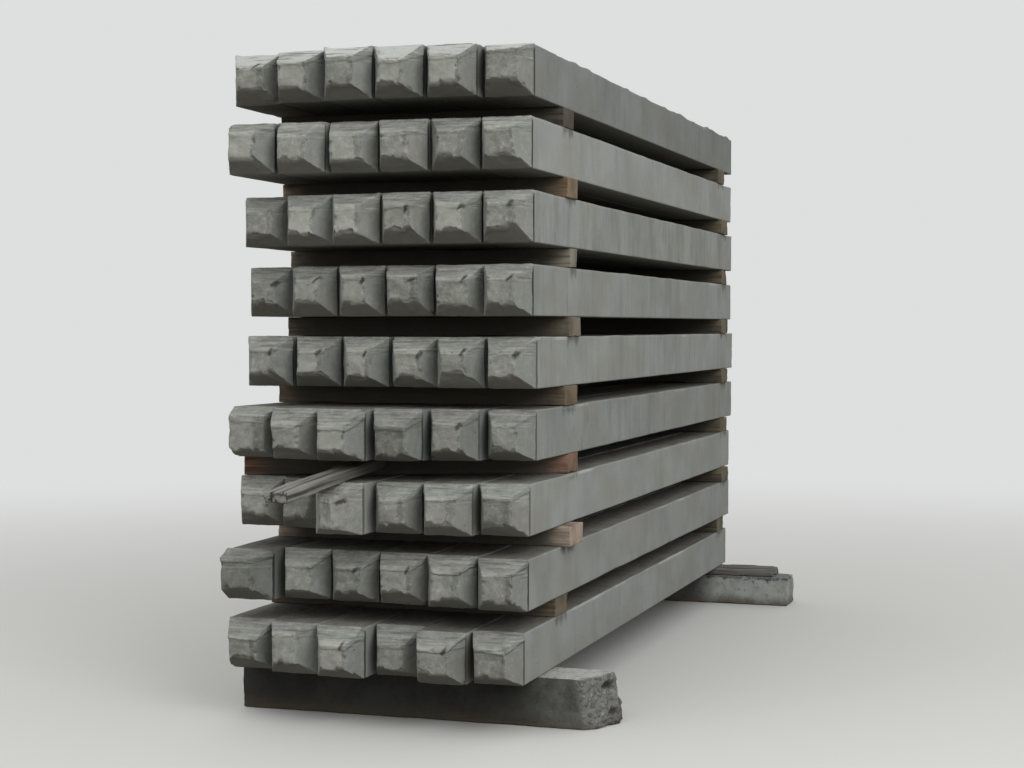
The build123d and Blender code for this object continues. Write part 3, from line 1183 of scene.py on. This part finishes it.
oldLook = {
    "dryAndLit": tint(180, 181, 178),        # the tops, washed by rain and painted lighter as lit from above
    "oldSleeper": (tint(104, 106, 101), tint(72, 73, 69)),    # weathered, dirty sides of the front sleeper, darkened also as painted shade
    "oldBlock": (tint(166, 170, 166), tint(138, 140, 134)),   # and of the rear block
    "shadeAndDirt": tint(46, 45, 42),     # painted shade and dirt under the stack
    "stone": (tint(92, 93, 89), tint(150, 151, 147)),     # stones in the break
    "mortar": tint(122, 123, 119),
    "soil": tint(80, 71, 58),
    "grimeDepth": 0.022,               # dirt hangs down this far from the rear block's top edge
    "grimeFade": 0.02,
    "soilHeight": 0.07,                # soil sticks to the foot up to here
    "cloud": 5,                        # noise cells to a metre
    "mottle": 38,
    "stones": 55,
    "coarse": 110,
    "pore": (60, 0.003, 0.4),          # cells to a metre, radius, share of cells with one
    "relief": 0.005,                   # height of the finest relief
    "roughness": 0.92,
    "upperReach": 0.09,                # how unevenly the grime ends
    "coverReach": 0.15,                # and the dark part under the stack
}

oldRange = {
    # each mark comes in between the first value of its pattern and the second
    "sides": (0.38, 0.64),
    "washedAndLit": (0.8, 0.45),
    "washedAndLitUp": (0.5, 0.85),           # and only where a face is turned up this far
    "spots": (0.52, 0.7),
    "spotsUp": (0.9, 0.5, 0.12, 0.4),  # these hide 0.12 of what is turned up and 0.4 of the rest
    "gap": (0.3, 0.62),                # mortar between the stones
    "soil": (0.25, 0.55),
}

oldCover = {
    # how much each mark hides of what is under it, from 0 to 1
    "shadeAndGrime": 0.7,
    "broken": 0.75,
    "hole": 0.9,
    "shadeAndDirt": 0.8,
    "soil": 0.7,
}


def oldConcrete(name, sides, coverFrom, coverTo, grimeFrom):
    # weathered concrete, dark with painted shade and dirt where the stack covers it and rough where it broke
    look, span = oldLook, oldRange
    dark = look["shadeAndDirt"]
    paint = Paint(name, look["roughness"])
    place = paint.place
    nz = paint.split(paint.normal)[2]
    x, _, z = paint.split(place)
    cloud = paint.noise(place, look["cloud"], 5, 0.65)
    mottle = paint.noise(place, look["mottle"], 4, 0.65)
    colour = paint.mix(paint.ramp(cloud, *span["sides"]), sides[0], sides[1])
    # faces that turn up are painted paler: rain wash and painted light from above
    washedAndLit = paint.times(paint.ramp(nz, *span["washedAndLitUp"]), paint.ramp(mottle, *span["washedAndLit"]))
    colour = paint.mix(washedAndLit, colour, look["dryAndLit"])
    spots = paint.times(paint.ramp(mottle, *span["spots"]), paint.ramp(nz, *span["spotsUp"]))
    colour = paint.mix(spots, colour, dark)
    upper = paint.plus(z, paint.times(paint.plus(mottle, -0.5), look["upperReach"]))
    shadeAndGrime = paint.ramp(upper, grimeFrom, grimeFrom + look["grimeFade"], 0.0, oldCover["shadeAndGrime"])
    colour = paint.mix(shadeAndGrime, colour, dark)
    distance, chance = paint.cells(place, look["stones"])
    gap = paint.ramp(distance, *span["gap"])
    stones = paint.mix(chance, look["stone"][0], look["stone"][1])
    stones = paint.mix(gap, stones, look["mortar"])
    broken = paint.value("broken")
    colour = paint.mix(paint.times(broken, oldCover["broken"]), colour, stones)
    # the holes in the break are painted dark, as shade
    colour = paint.mix(paint.times(paint.value("hole"), oldCover["hole"]), colour, dark)
    # painted shade of the stack, and dirt, on the part it covers
    uneven = paint.plus(x, paint.times(paint.plus(cloud, -0.5), look["coverReach"]))
    covered = paint.ramp(uneven, coverTo, coverFrom)
    colour = paint.mix(paint.times(covered, oldCover["shadeAndDirt"]), colour, dark)
    soil = paint.times(paint.ramp(z, look["soilHeight"], 0.0), paint.ramp(cloud, *span["soil"]))
    colour = paint.mix(paint.times(soil, oldCover["soil"]), colour, look["soil"])
    paint.colour(colour)
    height = paint.times(paint.noise(place, look["coarse"], 5, 0.7), 0.8)
    height = paint.math("SUBTRACT", height, paint.times(broken, gap))
    height = paint.math("SUBTRACT", height, paint.pores(place, *look["pore"]))
    paint.bump(height, look["relief"])
    return paint.material


def breakEnd(points, start, size, values):
    # shortens the right end into a rough break with stones standing out of it
    look = breakLook
    share, across, level = (start / size).T
    short = look["slant"] * np.clip(1 - across / 0.75, 0, 1) + look["lean"] * level
    flat = start * np.array([0, 1, 1])
    rough = (roughNoise(flat, look["lumpSize"], 71, 4) + 0.6) * look["lump"]
    rough += roughNoise(flat, look["stoneSize"], 77, 2) * look["stone"]
    deep = np.zeros(len(points))
    for holeAcross, holeUp, halfWidth, halfHeight, depth in look["holes"]:
        sideways = (across - holeAcross) * size[1] / halfWidth
        upwards = (level - holeUp) * size[2] / halfHeight
        hole = np.hypot(sideways, upwards) + roughNoise(flat, 0.03, 79, 2) * 0.4
        hole = smoothStep(1.15, 0.6, hole)
        rough += hole * depth
        deep = np.maximum(deep, hole)
    atBreak = smoothStep(0.97, 1.0, share)
    points[:, 0] -= smoothStep(0.8, 1.0, share) * short + atBreak * rough
    values["broken"] = smoothStep(0.98, 0.997, share)
    values["hole"] = deep * atBreak


def makeSleeper(name, node, seed, concrete, cover, grimeFrom, shapeEnds=None):
    # concrete is the name of its two colours in oldLook and of the material
    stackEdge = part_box("pile_layer_1")[1][0]
    coverFrom, coverTo = [stackEdge + reach for reach in sleeperLook[cover]]
    material = oldConcrete(concrete, oldLook[concrete], coverFrom, coverTo, grimeFrom)
    points, faces, values = makeBar(boxCorners(node), sleeperLook, sleeperLook[seed], shapeEnds)
    standIn(name, node, material, [(points, faces)], values)


def makeSleepers():
    noGrime = 1.0     # grime starts above the front sleeper, so it has none
    makeSleeper("frontSleeper", "front_sleeper", "frontSeed", "oldSleeper", "frontCover", noGrime, breakEnd)
    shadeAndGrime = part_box("rear_sleeper")[1][2] - oldLook["grimeDepth"]
    makeSleeper("rearSleeper", "rear_sleeper", "rearSeed", "oldBlock", "rearCover", shadeAndGrime)
    report("sleepers")


# the studio: a pale floor, soft light and the camera

studioLook = {
    "floor": tint(204, 204, 201),
    "floorBounce": tint(136, 134, 128),   # what the floor looks like to the light it throws back up
    "backdrop": tint(222, 223, 223),
    "fadeFrom": 3.0,          # the floor turns into the backdrop between these distances
    "fadeTo": 11.0,
    "floorSide": 90,
    "skyHigh": 1.1,           # light from overhead and from the horizon
    "skyLow": 0.95,
    "skyBetween": (0.05, 0.8),   # heights on the sky between which it changes
    "lightSize": 6.0,
    "keyPower": 140,
    "keyPlace": (-3.5, -8.0, 8.0),
    "fillPower": 500,
    "fillPlace": (7.2, -7.6, 6.4),
}


def makeFloor():
    side = studioLook["floorSide"]
    mesh = bpy.data.meshes.new("floor")
    corners = [(-side, -side, 0), (side, -side, 0), (side, side, 0), (-side, side, 0)]
    mesh.from_pydata(corners, [], [(0, 1, 2, 3)])
    floor = bpy.data.objects.new("floor", mesh)
    bpy.context.scene.collection.objects.link(floor)
    paint = Paint("paleFloor", 0.9)
    seen = paint.add("ShaderNodeLightPath").outputs["Is Camera Ray"]
    paint.colour(paint.mix(seen, studioLook["floorBounce"], studioLook["floor"]))
    # far from the object the camera sees the floor in the backdrop's own colour
    distance = paint.add("ShaderNodeVectorMath", operation="LENGTH")
    paint.join(paint.place, distance.inputs[0])
    far = paint.ramp(distance.outputs["Value"], studioLook["fadeFrom"], studioLook["fadeTo"])
    glow = paint.add("ShaderNodeEmission")
    glow.inputs["Color"].default_value = studioLook["backdrop"]
    blend = paint.add("ShaderNodeMixShader")
    paint.join(paint.times(far, seen), blend.inputs[0])
    paint.join(paint.shader.outputs[0], blend.inputs[1])
    paint.join(glow.outputs[0], blend.inputs[2])
    paint.join(blend.outputs[0], paint.output.inputs["Surface"])
    floor.data.materials.append(paint.material)


def makeSky():
    # soft light from all round, a little stronger overhead than near the horizon
    world = bpy.data.worlds.new("softSky")
    bpy.context.scene.world = world
    world.use_nodes = True
    tree = world.node_tree
    tree.nodes.clear()
    rays = tree.nodes.new("ShaderNodeLightPath")
    way = tree.nodes.new("ShaderNodeTexCoord")
    axes = tree.nodes.new("ShaderNodeSeparateXYZ")
    height = tree.nodes.new("ShaderNodeMapRange")
    height.interpolation_type = "SMOOTHSTEP"
    height.inputs["From Min"].default_value = studioLook["skyBetween"][0]
    height.inputs["From Max"].default_value = studioLook["skyBetween"][1]
    height.inputs["To Min"].default_value = studioLook["skyLow"]
    height.inputs["To Max"].default_value = studioLook["skyHigh"]
    dome = tree.nodes.new("ShaderNodeBackground")
    seen = tree.nodes.new("ShaderNodeBackground")
    seen.inputs["Color"].default_value = studioLook["backdrop"]
    mix = tree.nodes.new("ShaderNodeMixShader")
    output = tree.nodes.new("ShaderNodeOutputWorld")
    tree.links.new(way.outputs["Generated"], axes.inputs[0])
    tree.links.new(axes.outputs[2], height.inputs["Value"])
    tree.links.new(height.outputs["Result"], dome.inputs["Strength"])
    tree.links.new(rays.outputs["Is Camera Ray"], mix.inputs[0])
    tree.links.new(dome.outputs[0], mix.inputs[1])
    tree.links.new(seen.outputs[0], mix.inputs[2])
    tree.links.new(mix.outputs[0], output.inputs["Surface"])


def addLight(name, place, power):
    data = bpy.data.lights.new(name, "AREA")
    data.shape = "SQUARE"
    data.size = studioLook["lightSize"]
    data.energy = power
    light = bpy.data.objects.new(name, data)
    light.location = place
    aim = Vector((0, 0, cadBox[1][2] / 2))
    light.rotation_euler = (aim - Vector(place)).to_track_quat("-Z", "Y").to_euler()
    bpy.context.scene.collection.objects.link(light)


def makeStudio():
    makeFloor()
    makeSky()
    addLight("keyLight", studioLook["keyPlace"], studioLook["keyPower"])
    addLight("fillLight", studioLook["fillPlace"], studioLook["fillPower"])
    report("studio")


cameraLook = {
    "place": (2.544, -8.474, 1.571),   # where the photograph was taken from
    "aim": (-0.115, -0.235, 1.30),
    "lens": 65.0,
    "sensor": 36.0,
}


def makeCamera():
    data = bpy.data.cameras.new("photoCamera")
    data.lens = cameraLook["lens"]
    data.sensor_width = cameraLook["sensor"]
    data.sensor_fit = "HORIZONTAL"
    data.clip_end = 200
    camera = bpy.data.objects.new("photoCamera", data)
    camera.location = cameraLook["place"]
    way = Vector(cameraLook["aim"]) - Vector(cameraLook["place"])
    camera.rotation_euler = way.to_track_quat("-Z", "Y").to_euler()
    bpy.context.scene.collection.objects.link(camera)
    bpy.context.scene.camera = camera


makeRows(castConcrete())
makeTimbers()
makePlanks()
makeSleepers()
makeStudio()
makeCamera()
bpy.context.scene.view_settings.view_transform = "Standard"

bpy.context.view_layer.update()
report("whole scene")
